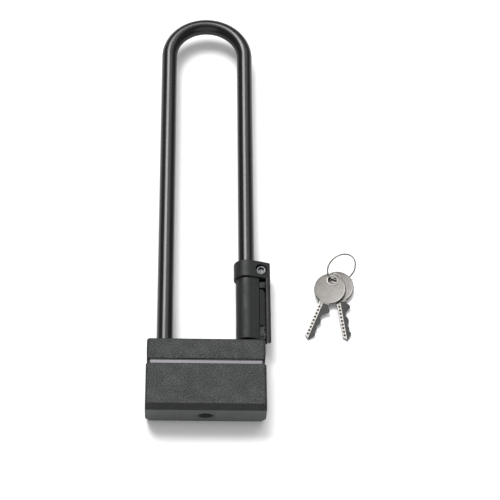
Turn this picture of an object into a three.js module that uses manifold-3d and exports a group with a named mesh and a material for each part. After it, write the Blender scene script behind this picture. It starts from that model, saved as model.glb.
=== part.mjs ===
// A long bicycle U-lock lying on its back, with its carrier bracket and its two keys.
// Millimetres. +X to the right, +Y up the shackle, +Z out of the front face.
// The origin is the middle of the body's back face, which rests on z = 0.
import * as THREE from "three";
import { mergeVertices } from "three/addons/utils/BufferGeometryUtils.js";
import Module from "manifold-3d";

const wasm = await Module();
wasm.setup();

// ---------------------------------------------------------------- driving dimensions
const GAP = 0.3; // between pieces that touch
const ROUND_SIDES = 32;

// body block
const BODY_HALF_WIDTH = 50.2;
const CAP_HALF_WIDTH = 49.7;
const BODY_DEPTH = 33;
const AXIS_Z = BODY_DEPTH / 2;
const BODY_BOTTOM = -31.5;
const CAP_TOP = 32.1;
const CAP_BOTTOM = 13.35;
const COVER_TOP = 8.25;
const COVER_WALL = 2.3;
const SIDE_ROUND = 2.6;
const END_CHAMFER_UP = 4;
const END_CHAMFER_DEEP = 5.5;
const BACK_CORNER = [4, 5]; // cut off each back corner of the keyhole end, across and deep

// steel crossbar
const CASE_HALF_WIDTH = BODY_HALF_WIDTH - COVER_WALL - 0.4;
const CASE_BACK = COVER_WALL + 0.4;
const CASE_TOP = 26;
const CASE_BOTTOM = BODY_BOTTOM + COVER_WALL + 0.4;
const RIB_HALF_WIDTH = 48.4;
const RIB_INSET = 1.2;

// shackle
const LEG_X = 34.86;
const BEND_CENTRE_Y = 333;
const BAR_RADIUS = 5.9;
const VINYL_INNER = 6.1;
const VINYL_RADIUS = 7;
const VINYL_END_Y = CASE_TOP + 0.6;
const BAR_END_Y = -1;
const BEND_STEPS = 20;
const BAR_SIDES = 24;

// lock cylinder
const KEYHOLE_HALF = [6.7, 4.7]; // the lens-shaped opening, half across and half deep
const BEZEL_RADIUS = 7.65;
const SHELL_RADIUS = 8.2;
const PLUG_RADIUS = 5.6;
const PLUG_FACE_Y = -26.5;
const SHELL_TOP_Y = 3.6;
const KEYWAY_WIDTH = 2.7;
const KEYWAY_HEIGHT = 8.6;
const WAFER_PITCH = 3.8;
const FIRST_WAFER_Y = -20;

// rack and pinion that throws the bolts
const BOLT_Y = 12;
const BOLT_RADIUS = 4;
const BOLT_TIP_X = 25.8;
const TEETH = 10;
const PITCH_RADIUS = 4;
const TOOTH_PITCH = (2 * Math.PI * PITCH_RADIUS) / TEETH;
const TOOTH_ABOVE = 0.6;
const TOOTH_BELOW = 0.9;
const TOOTH_HALF = 0.45;
const FLANK_SLOPE = 0.364;
const RACK_HALF_Y = 3.5;

// carrier bracket on the right leg
const COLLAR_RADIUS = 11;
const COLLAR_BOTTOM = 95.2;
const COLLAR_TOP = 111.2;
const GRIP_RADIUS = 9.3;
const GRIP_BOTTOM = 36.5;
const BRACKET_BORE = 8;
const LUG_HALF_DEPTH = 7;
const LUG_SLOPE = 0.316; // the front of the lug falls away to the right by this angle
const RAIL_INNER_X = 51.3;
const RAIL_OUTER_X = 55.2;
const RAIL_BOTTOM = 33;
const CHANNEL_LEFT_X = 45.3;
const CHANNEL_FLOOR_Z = 12.3;
const CHANNEL_TOP = 95.6;
const SCREW_X = 47.4;
const SCREW_Y = 103.2;
const CATCH_Y = [86.2, 93.8];
const CATCH_NOSE_Z = [19, 20.8]; // the ramp's steep part, where it meets the holder first
const LATCH_PIN_Y = 43.2;
const LATCH_PIN_Z = 17;
const LATCH_X = [45.8, 50.1];
const LATCH_Y = [37.8, 84.3];
const LATCH_BACK_Z = 16.5;
const PIN_BORE = 1.4;
const SPRING_Y = 74;

// keys and their ring
const KEY_THICK = 1.9;
const KEY_HEAD = [13.75, 14.55]; // half width and half height of the oval head
const KEY_HEAD_CENTRE = [0.9, -7.9]; // from the hole
const KEY_HOLE_RADIUS = 4.1;
const RING_RADIUS = 13.4;
const RING_WIRE = 0.65;

// height of each wafer's window above the middle of the cylinder
const WAFERS = [-0.6, 0.3, -0.2, 0.6, 0];

// ---------------------------------------------------------------- solid helpers
function solid(geometry) {
  const plain = geometry.clone();
  plain.deleteAttribute("normal");
  plain.deleteAttribute("uv");
  const merged = mergeVertices(plain, 1e-4);
  return new wasm.Manifold(
    new wasm.Mesh({
      numProp: 3,
      vertProperties: new Float32Array(merged.attributes.position.array),
      triVerts: new Uint32Array(merged.index.array),
    }),
  );
}

function toGeometry(made) {
  const mesh = made.getMesh();
  const geometry = new THREE.BufferGeometry();
  geometry.setAttribute("position", new THREE.BufferAttribute(mesh.vertProperties, 3));
  geometry.setIndex(new THREE.BufferAttribute(mesh.triVerts, 1));
  const faceted = geometry.toNonIndexed();
  faceted.computeVertexNormals();
  return faceted;
}

const join = (first, ...rest) => rest.reduce((a, b) => a.add(b), first);
const cut = (first, ...rest) => rest.reduce((a, b) => a.subtract(b), first);

function block([x0, x1], [y0, y1], [z0, z1]) {
  const box = new THREE.BoxGeometry(x1 - x0, y1 - y0, z1 - z0);
  return solid(box.translate((x0 + x1) / 2, (y0 + y1) / 2, (z0 + z1) / 2));
}

// A round bar along Y through (x, z), from y0 to y1; a second radius makes it taper.
function rodY(x, z, y0, y1, radius, topRadius = radius, sides = ROUND_SIDES) {
  const rod = new THREE.CylinderGeometry(topRadius, radius, y1 - y0, sides);
  return solid(rod.translate(x, (y0 + y1) / 2, z));
}

function rodX(y, z, x0, x1, radius, endRadius = radius, sides = ROUND_SIDES) {
  const rod = new THREE.CylinderGeometry(endRadius, radius, x1 - x0, sides);
  return solid(rod.rotateZ(-Math.PI / 2).translate((x0 + x1) / 2, y, z));
}

function rodZ(x, y, z0, z1, radius, topRadius = radius, sides = ROUND_SIDES) {
  const rod = new THREE.CylinderGeometry(topRadius, radius, z1 - z0, sides);
  return solid(rod.rotateX(Math.PI / 2).translate(x, y, (z0 + z1) / 2));
}

// An outline drawn in X and Z, drawn out along Y from y0 to y1.
function slabY(outline, y0, y1, curveSegments = 8) {
  const slab = new THREE.ExtrudeGeometry(outline, {
    depth: y1 - y0,
    bevelEnabled: false,
    curveSegments,
  });
  return solid(slab.rotateX(Math.PI / 2).translate(0, y1, 0));
}

// An outline drawn in X and Y, drawn out along Z from z0 to z1.
function slabZ(outline, z0, z1, curveSegments = 12) {
  const slab = new THREE.ExtrudeGeometry(outline, {
    depth: z1 - z0,
    bevelEnabled: false,
    curveSegments,
  });
  return solid(slab.translate(0, 0, z0));
}

// An outline drawn in Y and Z, drawn out along X from x0 to x1.
function slabX(points, x0, x1) {
  const outline = new THREE.Shape(points.map(([y, z]) => new THREE.Vector2(y, z)));
  const slab = new THREE.ExtrudeGeometry(outline, { depth: x1 - x0, bevelEnabled: false });
  const turn = new THREE.Matrix4().set(0, 0, 1, x0, 1, 0, 0, 0, 0, 1, 0, 0, 0, 0, 0, 1);
  return solid(slab.applyMatrix4(turn));
}

function roundedRectangle(x0, x1, z0, z1, radius) {
  const outline = new THREE.Shape();
  outline.moveTo(x0 + radius, z0);
  outline.lineTo(x1 - radius, z0);
  outline.absarc(x1 - radius, z0 + radius, radius, -Math.PI / 2, 0);
  outline.lineTo(x1, z1 - radius);
  outline.absarc(x1 - radius, z1 - radius, radius, 0, Math.PI / 2);
  outline.lineTo(x0 + radius, z1);
  outline.absarc(x0 + radius, z1 - radius, radius, Math.PI / 2, Math.PI);
  outline.lineTo(x0, z0 + radius);
  outline.absarc(x0 + radius, z0 + radius, radius, Math.PI, 1.5 * Math.PI);
  return outline;
}

function centredSlab(halfWidth, inset, y0, y1, radius) {
  const outline = roundedRectangle(-halfWidth, halfWidth, inset, BODY_DEPTH - inset, radius);
  return slabY(outline, y0, y1, 4);
}

// ---------------------------------------------------------------- finishes
const finish = (color, roughness, metalness) => ({ color, roughness, metalness });
const FINISHES = {
  cover_plastic: finish(0x525454, 0.62, 0),
  bracket_plastic: finish(0x3a3c3c, 0.6, 0),
  vinyl: finish(0x121212, 0.28, 0),
  hard_steel: finish(0x8c8f92, 0.35, 1),
  black_steel: finish(0x55585a, 0.45, 1),
  silver_trim: finish(0xb0abb2, 0.35, 0.6),
  nickel: finish(0xb9b2ab, 0.3, 1),
  brass: finish(0xb59a55, 0.35, 1),
  rubber: finish(0x0f0f0f, 0.8, 0),
};

const lock = new THREE.Group();

function place(name, made, slot, parent = lock) {
  const mesh = new THREE.Mesh(
    toGeometry(made),
    new THREE.MeshStandardMaterial({ ...FINISHES[slot], name: slot }),
  );
  mesh.name = name;
  parent.add(mesh);
  return mesh;
}

// ---------------------------------------------------------------- covers
const SCREW_PLACES = [
  [-40, -12],
  [40, -12],
  [-12, 21],
  [12, 21],
];
const SCREW_HEAD_RADIUS = 2.9;
const SCREW_RADIUS = 1.4;

function screwPocket([x, y]) {
  const seat = rodZ(x, y, -1, 2, SCREW_HEAD_RADIUS + GAP, SCREW_HEAD_RADIUS + GAP, 20);
  return join(seat, rodZ(x, y, 1.5, COVER_WALL + 1, SCREW_RADIUS + GAP, SCREW_RADIUS + GAP, 20));
}

// A wedge that takes one long edge off the body's end.
function endWedge(front) {
  const z = front ? BODY_DEPTH : 0;
  const out = front ? 1 : -1;
  const reach = 0.25; // share of the chamfer by which the wedge runs on past its edges
  const [up, deep] = [END_CHAMFER_UP, END_CHAMFER_DEEP];
  const edge = [
    [BODY_BOTTOM - up * reach, z + out * deep * reach],
    [BODY_BOTTOM + up * (1 + reach), z + out * deep * reach],
    [BODY_BOTTOM - up * reach, z - out * deep * (1 + reach)],
  ];
  return slabX(front ? edge : edge.reverse(), -BODY_HALF_WIDTH - 1, BODY_HALF_WIDTH + 1);
}

// A slanting block that takes the corner off where the back chamfer meets the side.
function cornerBlock(side) {
  const [across, deep] = BACK_CORNER;
  const along = new THREE.Vector3(-side * across, 0, -deep);
  const down = new THREE.Vector3(0, END_CHAMFER_UP, -END_CHAMFER_DEEP);
  const out = new THREE.Vector3().crossVectors(along, down).normalize();
  if (out.x * side < 0) out.negate();
  const middle = new THREE.Vector3(
    side * (BODY_HALF_WIDTH - across / 2),
    BODY_BOTTOM,
    END_CHAMFER_DEEP + deep / 2,
  );
  const thick = 6;
  middle.addScaledVector(out, thick / 2);
  const shape = new THREE.Matrix4().makeBasis(
    along.multiplyScalar(side * 2),
    down.multiplyScalar(4),
    out.multiplyScalar(thick),
  );
  if (shape.determinant() < 0) shape.multiply(new THREE.Matrix4().makeScale(-1, 1, 1));
  shape.setPosition(middle);
  return solid(new THREE.BoxGeometry(1, 1, 1).applyMatrix4(shape));
}

function mainCover() {
  const outside = centredSlab(BODY_HALF_WIDTH, 0, BODY_BOTTOM, COVER_TOP, SIDE_ROUND);
  const inside = centredSlab(
    BODY_HALF_WIDTH - COVER_WALL,
    COVER_WALL,
    BODY_BOTTOM + COVER_WALL,
    COVER_TOP + 1,
    1,
  );
  const [keptUp, keptDeep] = [COVER_WALL + 2.85, COVER_WALL + 3.3];
  const keptCorner = (z0, z1) =>
    block(
      [-BODY_HALF_WIDTH + 1, BODY_HALF_WIDTH - 1],
      [BODY_BOTTOM + 1, BODY_BOTTOM + keptUp],
      [z0, z1],
    );
  const hollow = cut(
    inside,
    keptCorner(0, keptDeep),
    keptCorner(BODY_DEPTH - keptDeep, BODY_DEPTH),
  );
  const keyhole = rodY(0, AXIS_Z, BODY_BOTTOM - 1, 0, BEZEL_RADIUS + GAP);
  return cut(
    outside,
    hollow,
    endWedge(true),
    endWedge(false),
    cornerBlock(-1),
    cornerBlock(1),
    keyhole,
    screwPocket(SCREW_PLACES[0]),
    screwPocket(SCREW_PLACES[1]),
  );
}

const SEAL_RADIUS = 8.9;

function topCover() {
  const edge = 1.2;
  const outside = join(
    centredSlab(CAP_HALF_WIDTH, 0, CAP_BOTTOM, CAP_TOP - edge, SIDE_ROUND),
    centredSlab(CAP_HALF_WIDTH - edge / 2, edge / 2, CAP_TOP - edge, CAP_TOP, SIDE_ROUND),
  );
  const inside = centredSlab(
    CAP_HALF_WIDTH - COVER_WALL + 0.5,
    COVER_WALL,
    CAP_BOTTOM - 1,
    CAP_TOP - COVER_WALL - 1,
    1,
  );
  const legHoles = [-LEG_X, LEG_X].map((x) =>
    rodY(x, AXIS_Z, CAP_BOTTOM, CAP_TOP + 1, SEAL_RADIUS + GAP),
  );
  const screws = SCREW_PLACES.slice(2).map(screwPocket);
  return cut(outside, inside, ...legHoles, ...screws);
}

function trimStrip() {
  const outline = new THREE.Shape();
  const [left, right, bottom, top, radius] = [-47, 47, COVER_TOP + 0.2, 12, 0.8];
  outline.moveTo(left + radius, bottom);
  outline.absarc(right - radius, bottom + radius, radius, -Math.PI / 2, 0);
  outline.absarc(right - radius, top - radius, radius, 0, Math.PI / 2);
  outline.absarc(left + radius, top - radius, radius, Math.PI / 2, Math.PI);
  outline.absarc(left + radius, bottom + radius, radius, Math.PI, 1.5 * Math.PI);
  return slabZ(outline, BODY_DEPTH - 2.3, BODY_DEPTH - 0.6, 4);
}

const coverScrew = ([x, y]) =>
  cut(
    join(
      rodZ(x, y, 0.4, 1.7, SCREW_HEAD_RADIUS, SCREW_HEAD_RADIUS, 20),
      rodZ(x, y, 1.6, 8, SCREW_RADIUS, SCREW_RADIUS, 12),
    ),
    block([x - 1.9, x + 1.9], [y - 0.4, y + 0.4], [0, 1.1]),
    block([x - 0.4, x + 0.4], [y - 1.9, y + 1.9], [0, 1.1]),
  );

function legSeal(x) {
  const ring = rodY(x, AXIS_Z, CASE_TOP + GAP, CAP_TOP - 0.2, SEAL_RADIUS);
  return cut(ring, rodY(x, AXIS_Z, CASE_TOP, CAP_TOP + 1, VINYL_RADIUS + GAP));
}

function keyholeBezel() {
  const ring = rodY(0, AXIS_Z, BODY_BOTTOM, PLUG_FACE_Y - GAP, BEZEL_RADIUS);
  const [across, deep] = KEYHOLE_HALF;
  const curve = (across ** 2 + deep ** 2) / (2 * deep);
  const arcs = [deep - curve, curve - deep].map((up) =>
    rodY(0, AXIS_Z + up, BODY_BOTTOM - 1, 0, curve, curve, 64),
  );
  return cut(ring, arcs[0].intersect(arcs[1]));
}

// ---------------------------------------------------------------- steel crossbar and lock works
const PIN_X = SHELL_RADIUS;
const PIN_Y = -12;
const POCKET_X = 20.9;
const POCKET_Y = [7, 17.5];
const POCKET_Z = [7.6, 25.5];

function steelCase() {
  const bar = block(
    [-CASE_HALF_WIDTH, CASE_HALF_WIDTH],
    [CASE_BOTTOM + 3, CASE_TOP],
    [CASE_BACK, BODY_DEPTH - CASE_BACK],
  );
  const foot = block(
    [-CASE_HALF_WIDTH, CASE_HALF_WIDTH],
    [CASE_BOTTOM, CASE_BOTTOM + 4],
    [CASE_BACK + 3, BODY_DEPTH - CASE_BACK - 3],
  );
  const rib = centredSlab(RIB_HALF_WIDTH, RIB_INSET, COVER_TOP + GAP, CAP_BOTTOM - GAP, 2);
  const stripSeat = block([-47.4, 47.4], [COVER_TOP, 12.3], [BODY_DEPTH - 2.6, BODY_DEPTH]);
  const legBores = [-LEG_X, LEG_X].map((x) =>
    rodY(x, AXIS_Z, BAR_END_Y - 1, CASE_TOP + 1, BAR_RADIUS + 0.5),
  );
  const pocket = block([-POCKET_X, POCKET_X], POCKET_Y, [CASE_BACK - 1, POCKET_Z[1]]);
  const boltBore = rodX(BOLT_Y, AXIS_Z, -60, 60, BOLT_RADIUS + GAP);
  const cylinderBore = rodY(0, AXIS_Z, CASE_BOTTOM - 1, SHELL_TOP_Y + 0.4, SHELL_RADIUS + GAP);
  const tailBore = rodY(0, AXIS_Z, 0, POCKET_Y[0] + 1, 3);
  const pinBore = rodZ(PIN_X, PIN_Y, 0, 25, 1.8, 1.8, 16);
  const screwBores = SCREW_PLACES.map(([x, y]) =>
    rodZ(x, y, 0, 8.6, SCREW_RADIUS + GAP, SCREW_RADIUS + GAP, 12),
  );
  return cut(
    join(bar, foot, rib),
    stripSeat,
    ...legBores,
    pocket,
    boltBore,
    cylinderBore,
    tailBore,
    pinBore,
    ...screwBores,
  );
}

function mechanismPlate() {
  const edge = 0.3;
  return block(
    [-POCKET_X + edge, POCKET_X - edge],
    [POCKET_Y[0] + edge, POCKET_Y[1] - edge],
    [CASE_BACK, POCKET_Z[0]],
  );
}

const channelPlug = (side) => {
  const [inner, outer] = [42, CASE_HALF_WIDTH - 0.2];
  return side > 0
    ? rodX(BOLT_Y, AXIS_Z, inner, outer, BOLT_RADIUS, BOLT_RADIUS, 24)
    : rodX(BOLT_Y, AXIS_Z, -outer, -inner, BOLT_RADIUS, BOLT_RADIUS, 24);
};

function cylinderShell() {
  const tube = rodY(0, AXIS_Z, PLUG_FACE_Y, SHELL_TOP_Y, SHELL_RADIUS);
  return cut(
    tube,
    rodY(0, AXIS_Z, PLUG_FACE_Y - 1, SHELL_TOP_Y + 1, PLUG_RADIUS + GAP),
    rodZ(PIN_X, PIN_Y, 0, 33, 1.8, 1.8, 16),
  );
}

const TAIL_HALF = 1.5;
const TAIL_TOP = 15.9;

const waferY = (index) => FIRST_WAFER_Y + index * WAFER_PITCH;

function cylinderPlug() {
  const barrel = rodY(0, AXIS_Z, PLUG_FACE_Y, SHELL_TOP_Y, PLUG_RADIUS);
  const tail = block(
    [-TAIL_HALF, TAIL_HALF],
    [SHELL_TOP_Y - 1, TAIL_TOP],
    [AXIS_Z - TAIL_HALF, AXIS_Z + TAIL_HALF],
  );
  const tip = rodY(0, AXIS_Z, TAIL_TOP - 1, 17.1, 1.3, 1.3, 16);
  const keyway = block(
    [-KEYWAY_WIDTH / 2, KEYWAY_WIDTH / 2],
    [PLUG_FACE_Y - 1, SHELL_TOP_Y - 3],
    [AXIS_Z - KEYWAY_HEIGHT / 2, AXIS_Z + KEYWAY_HEIGHT / 2],
  );
  const slots = WAFERS.map((_, i) =>
    block([-3.5, 3.5], [waferY(i) - 0.9, waferY(i) + 0.9], [AXIS_Z - 7, AXIS_Z + 7]),
  );
  return cut(join(barrel, tail, tip), keyway, ...slots);
}

function wafer(index) {
  const y = waferY(index);
  const middle = AXIS_Z + WAFERS[index];
  const plate = block([-3.1, 3.1], [y - 0.6, y + 0.6], [AXIS_Z - 4.5, AXIS_Z + 4.5]);
  return cut(plate, block([-1.6, 1.6], [y - 1, y + 1], [middle - 3.2, middle + 3.2]));
}

function drivePinion() {
  const outline = new THREE.Shape();
  const tipRadius = PITCH_RADIUS + TOOTH_ABOVE;
  const rootRadius = PITCH_RADIUS - TOOTH_BELOW;
  const tipHalf = TOOTH_HALF - TOOTH_ABOVE * FLANK_SLOPE;
  const rootHalf = TOOTH_HALF + TOOTH_BELOW * FLANK_SLOPE * 0.8;
  for (let i = 0; i < TEETH; i++) {
    const middle = Math.PI / 2 + (i * 2 * Math.PI) / TEETH;
    const corners = [
      [rootRadius, -rootHalf],
      [tipRadius, -tipHalf],
      [tipRadius, tipHalf],
      [rootRadius, rootHalf],
    ];
    for (const [radius, half] of corners) {
      const angle = middle + half / radius;
      const x = radius * Math.cos(angle);
      const z = AXIS_Z + radius * Math.sin(angle);
      if (i === 0 && half === -rootHalf) outline.moveTo(x, z);
      else outline.lineTo(x, z);
    }
  }
  const hole = TAIL_HALF + 0.2;
  return cut(
    slabY(outline, BOLT_Y - RACK_HALF_Y - 0.3, BOLT_Y + RACK_HALF_Y + 0.3),
    block([-hole, hole], [0, 20], [AXIS_Z - hole, AXIS_Z + hole]),
  );
}

const pinionClip = () => cut(rodY(0, AXIS_Z, 16.1, 16.8, 2.8, 2.8, 20), rodY(0, AXIS_Z, 15, 18, 1.6));

// The right bolt: a round pin, a carrier, and a rack arm that passes over the pinion.
function lockBolt() {
  const pitchZ = AXIS_Z + PITCH_RADIUS;
  const armFace = pitchZ + TOOTH_BELOW;
  const armTop = 25;
  const ySpan = [BOLT_Y - RACK_HALF_Y, BOLT_Y + RACK_HALF_Y];
  const arm = block([-9, 12], ySpan, [armFace, armTop]);
  const carrier = block([10, 14], ySpan, [12.5, armTop]);
  const pin = join(
    rodX(BOLT_Y, AXIS_Z, 13, BOLT_TIP_X - 1, BOLT_RADIUS),
    rodX(BOLT_Y, AXIS_Z, BOLT_TIP_X - 1, BOLT_TIP_X, BOLT_RADIUS, BOLT_RADIUS - 0.8),
  );
  const teeth = [];
  for (let i = -4; i < 2; i++) {
    const x = (i + 0.5) * TOOTH_PITCH;
    const tipHalf = TOOTH_HALF - TOOTH_ABOVE * FLANK_SLOPE;
    const baseHalf = TOOTH_HALF + TOOTH_BELOW * FLANK_SLOPE;
    const outline = new THREE.Shape();
    outline.moveTo(x - tipHalf, pitchZ - TOOTH_ABOVE);
    outline.lineTo(x + tipHalf, pitchZ - TOOTH_ABOVE);
    outline.lineTo(x + baseHalf, armFace);
    outline.lineTo(x + baseHalf, armFace + 0.5);
    outline.lineTo(x - baseHalf, armFace + 0.5);
    outline.lineTo(x - baseHalf, armFace);
    teeth.push(slabY(outline, ...ySpan));
  }
  return join(arm, carrier, pin, ...teeth);
}

// ---------------------------------------------------------------- shackle
// The shackle's middle line: one long step up each leg and equal steps round the bend.
class ShackleLine extends THREE.Curve {
  constructor(endY) {
    super();
    this.endY = endY;
  }
  getPoint(t) {
    const step = t * (BEND_STEPS + 2);
    if (step < 1) return this.onLeg(-LEG_X, step);
    if (step > BEND_STEPS + 1) return this.onLeg(LEG_X, BEND_STEPS + 2 - step);
    const angle = Math.PI * (1 - (step - 1) / BEND_STEPS);
    const x = LEG_X * Math.cos(angle);
    return new THREE.Vector3(x, BEND_CENTRE_Y + LEG_X * Math.sin(angle), AXIS_Z);
  }
  onLeg(x, share) {
    return new THREE.Vector3(x, this.endY + (BEND_CENTRE_Y - this.endY) * share, AXIS_Z);
  }
  getPointAt(t) {
    return this.getPoint(t);
  }
  getTangentAt(t) {
    const step = Math.min(Math.max(t * (BEND_STEPS + 2), 1), BEND_STEPS + 1);
    const angle = Math.PI * (1 - (step - 1) / BEND_STEPS);
    return new THREE.Vector3(Math.sin(angle), -Math.cos(angle), 0);
  }
}

function polygon(radius, sides) {
  const points = [];
  for (let i = 0; i < sides; i++) {
    const angle = (2 * Math.PI * i) / sides;
    points.push(new THREE.Vector2(radius * Math.cos(angle), radius * Math.sin(angle)));
  }
  return points;
}

function bentTube(radius, endY) {
  return solid(
    new THREE.ExtrudeGeometry(new THREE.Shape(polygon(radius, BAR_SIDES)), {
      steps: BEND_STEPS + 2,
      extrudePath: new ShackleLine(endY),
      bevelEnabled: false,
    }),
  );
}

function shackleBar() {
  const tipHeight = 2;
  const tips = [-LEG_X, LEG_X].map((x) =>
    rodY(x, AXIS_Z, BAR_END_Y, BAR_END_Y + tipHeight, BAR_RADIUS - 1.5, BAR_RADIUS - 0.02, BAR_SIDES),
  );
  const notchDepth = 3.6;
  const innerFace = LEG_X - BAR_RADIUS;
  const notches = [
    rodX(BOLT_Y, AXIS_Z, 20, innerFace + notchDepth, BOLT_RADIUS + 0.4),
    rodX(BOLT_Y, AXIS_Z, -innerFace - notchDepth, -20, BOLT_RADIUS + 0.4),
  ];
  return cut(join(bentTube(BAR_RADIUS, BAR_END_Y + tipHeight), ...tips), ...notches);
}

function shackleSleeve() {
  const longer = 2;
  return cut(bentTube(VINYL_RADIUS, VINYL_END_Y), bentTube(VINYL_INNER, VINYL_END_Y - longer));
}

// ---------------------------------------------------------------- carrier bracket
const LUG_BACK_Z = AXIS_Z - LUG_HALF_DEPTH;
const CLAMP_SLIT = 0.8;
const COUNTERBORE_Z = 19.4;
const NUT_POCKET_Z = 12.9;
const SLOPE_START = Math.PI / 2 - LUG_SLOPE;

// Height at x of the flat front that runs tangent off a round of this radius on the leg's axis.
function slopeZ(radius, x) {
  const startX = LEG_X + radius * Math.cos(SLOPE_START);
  return AXIS_Z + radius * Math.sin(SLOPE_START) - (x - startX) * Math.tan(LUG_SLOPE);
}

// Collar and lug in one outline.
function collarOutline() {
  const outline = new THREE.Shape();
  const backMeet = Math.asin(LUG_HALF_DEPTH / COLLAR_RADIUS) * 1.35;
  const corner = 1.6;
  const cornerX = RAIL_OUTER_X - corner;
  const cornerZ = slopeZ(COLLAR_RADIUS, cornerX) - corner / Math.cos(LUG_SLOPE);
  outline.moveTo(cornerX, LUG_BACK_Z);
  outline.absarc(cornerX, LUG_BACK_Z + corner, corner, -Math.PI / 2, 0);
  outline.absarc(cornerX, cornerZ, corner, 0, SLOPE_START);
  outline.absarc(LEG_X, AXIS_Z, COLLAR_RADIUS, SLOPE_START, 2 * Math.PI - backMeet);
  outline.lineTo(LEG_X + COLLAR_RADIUS * 1.05, LUG_BACK_Z);
  return outline;
}

// Grip tube and the web that joins it to the channel, in one outline.
function gripOutline() {
  const outline = new THREE.Shape();
  const backMeet = Math.asin(LUG_HALF_DEPTH / GRIP_RADIUS);
  outline.moveTo(CHANNEL_LEFT_X, LUG_BACK_Z);
  outline.lineTo(CHANNEL_LEFT_X, slopeZ(GRIP_RADIUS, CHANNEL_LEFT_X));
  outline.absarc(LEG_X, AXIS_Z, GRIP_RADIUS, SLOPE_START, 2 * Math.PI - backMeet);
  return outline;
}

// The rail has a rounded front edge and a slanting lower end that leads the frame holder on.
function railPlate() {
  const [top, round, lead] = [COLLAR_BOTTOM + 1, 2.2, 8.5];
  const endRound = 3;
  const roundX = RAIL_OUTER_X - round;
  const roundZ = slopeZ(COLLAR_RADIUS, roundX) - round;
  const outline = new THREE.Shape();
  outline.moveTo(RAIL_INNER_X, LUG_BACK_Z);
  outline.lineTo(RAIL_OUTER_X, LUG_BACK_Z);
  outline.absarc(roundX, roundZ, round, 0, Math.PI / 2);
  outline.lineTo(RAIL_INNER_X, roundZ + round);
  const slant = slabX(
    [
      [RAIL_BOTTOM - 4, LUG_BACK_Z - 1],
      [RAIL_BOTTOM + lead + 0.6, LUG_BACK_Z - 1],
      [RAIL_BOTTOM, roundZ + round],
      [RAIL_BOTTOM - 4, roundZ + round + 4],
    ],
    RAIL_INNER_X - 1,
    RAIL_OUTER_X + 1,
  );
  const corner = cut(
    block(
      [RAIL_OUTER_X - endRound, RAIL_OUTER_X + 1],
      [RAIL_BOTTOM - 1, RAIL_BOTTOM + endRound],
      [0, BODY_DEPTH],
    ),
    rodZ(RAIL_OUTER_X - endRound, RAIL_BOTTOM + endRound, -1, BODY_DEPTH + 1, endRound),
  );
  return cut(slabY(outline, RAIL_BOTTOM, top, 6), slant, corner);
}

function bracketBody() {
  const collar = slabY(collarOutline(), COLLAR_BOTTOM, COLLAR_TOP, 20);
  const grip = slabY(gripOutline(), GRIP_BOTTOM, COLLAR_BOTTOM + 1, 20);
  const floor = block(
    [LEG_X + 6, RAIL_INNER_X + 1],
    [GRIP_BOTTOM + 1.5, COLLAR_BOTTOM + 1],
    [LUG_BACK_Z, CHANNEL_FLOOR_Z],
  );
  const bore = rodY(LEG_X, AXIS_Z, 0, COLLAR_TOP + 10, BRACKET_BORE);
  const window = block(
    [CHANNEL_LEFT_X, RAIL_INNER_X],
    [COLLAR_BOTTOM - 1, CHANNEL_TOP],
    [CHANNEL_FLOOR_Z, BODY_DEPTH],
  );
  const slitEnd = LEG_X + COLLAR_RADIUS * Math.cos(SLOPE_START);
  const ringSlit = block([20, slitEnd], [COLLAR_BOTTOM - 0.9, COLLAR_BOTTOM], [0, BODY_DEPTH]);
  const clampSlit = block(
    [LEG_X + 5, RAIL_OUTER_X + 1],
    [CHANNEL_TOP + 1.4, COLLAR_TOP + 1],
    [AXIS_Z - CLAMP_SLIT, AXIS_Z + CLAMP_SLIT],
  );
  const [headBore, shankBore, nutCorner] = [5, 2.7, 5];
  const counterbore = rodZ(SCREW_X, SCREW_Y, COUNTERBORE_Z, BODY_DEPTH, headBore);
  const screwBore = rodZ(SCREW_X, SCREW_Y, 0, BODY_DEPTH, shankBore, shankBore, 20);
  const nutPocket = rodZ(SCREW_X, SCREW_Y, 0, NUT_POCKET_Z, nutCorner, nutCorner, 6);
  const pinSpan = [CHANNEL_LEFT_X - 2, RAIL_INNER_X + 2.2];
  const pinBore = rodX(LATCH_PIN_Y, LATCH_PIN_Z, ...pinSpan, PIN_BORE, PIN_BORE, 16);
  return cut(
    join(collar, grip, floor, railPlate()),
    bore,
    window,
    ringSlit,
    clampSlit,
    counterbore,
    screwBore,
    nutPocket,
    pinBore,
  );
}

function bracketLiner() {
  const ring = rodY(LEG_X, AXIS_Z, COLLAR_BOTTOM + 0.4, COLLAR_TOP - 0.4, BRACKET_BORE - 0.2);
  return cut(ring, rodY(LEG_X, AXIS_Z, 0, COLLAR_TOP + 10, VINYL_RADIUS + 0.2));
}

function clampScrew() {
  const headBottom = COUNTERBORE_Z + GAP;
  const headTop = headBottom + 2.9;
  const socketRadius = 2.89;
  return cut(
    join(
      rodZ(SCREW_X, SCREW_Y, headBottom, headTop, 4.2),
      rodZ(SCREW_X, SCREW_Y, LUG_BACK_Z + 0.6, headBottom + 0.3, 2.4, 2.4, 20),
    ),
    rodZ(SCREW_X, SCREW_Y, headTop - 2.2, headTop + 1, socketRadius, socketRadius, 6),
  );
}

const clampNut = () =>
  cut(
    rodZ(SCREW_X, SCREW_Y, LUG_BACK_Z + 0.3, NUT_POCKET_Z - GAP, 4.6, 4.6, 6),
    rodZ(SCREW_X, SCREW_Y, 0, 20, 2.65, 2.65, 20),
  );

// What stands in the channel is cut flush with the sloping front of the grip.
function aboveSlope() {
  const [left, right, high] = [40, 58, 40];
  const outline = new THREE.Shape();
  outline.moveTo(left, slopeZ(GRIP_RADIUS, left));
  outline.lineTo(right, slopeZ(GRIP_RADIUS, right));
  outline.lineTo(right, high);
  outline.lineTo(left, high);
  return slabY(outline, 0, COLLAR_TOP);
}

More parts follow.
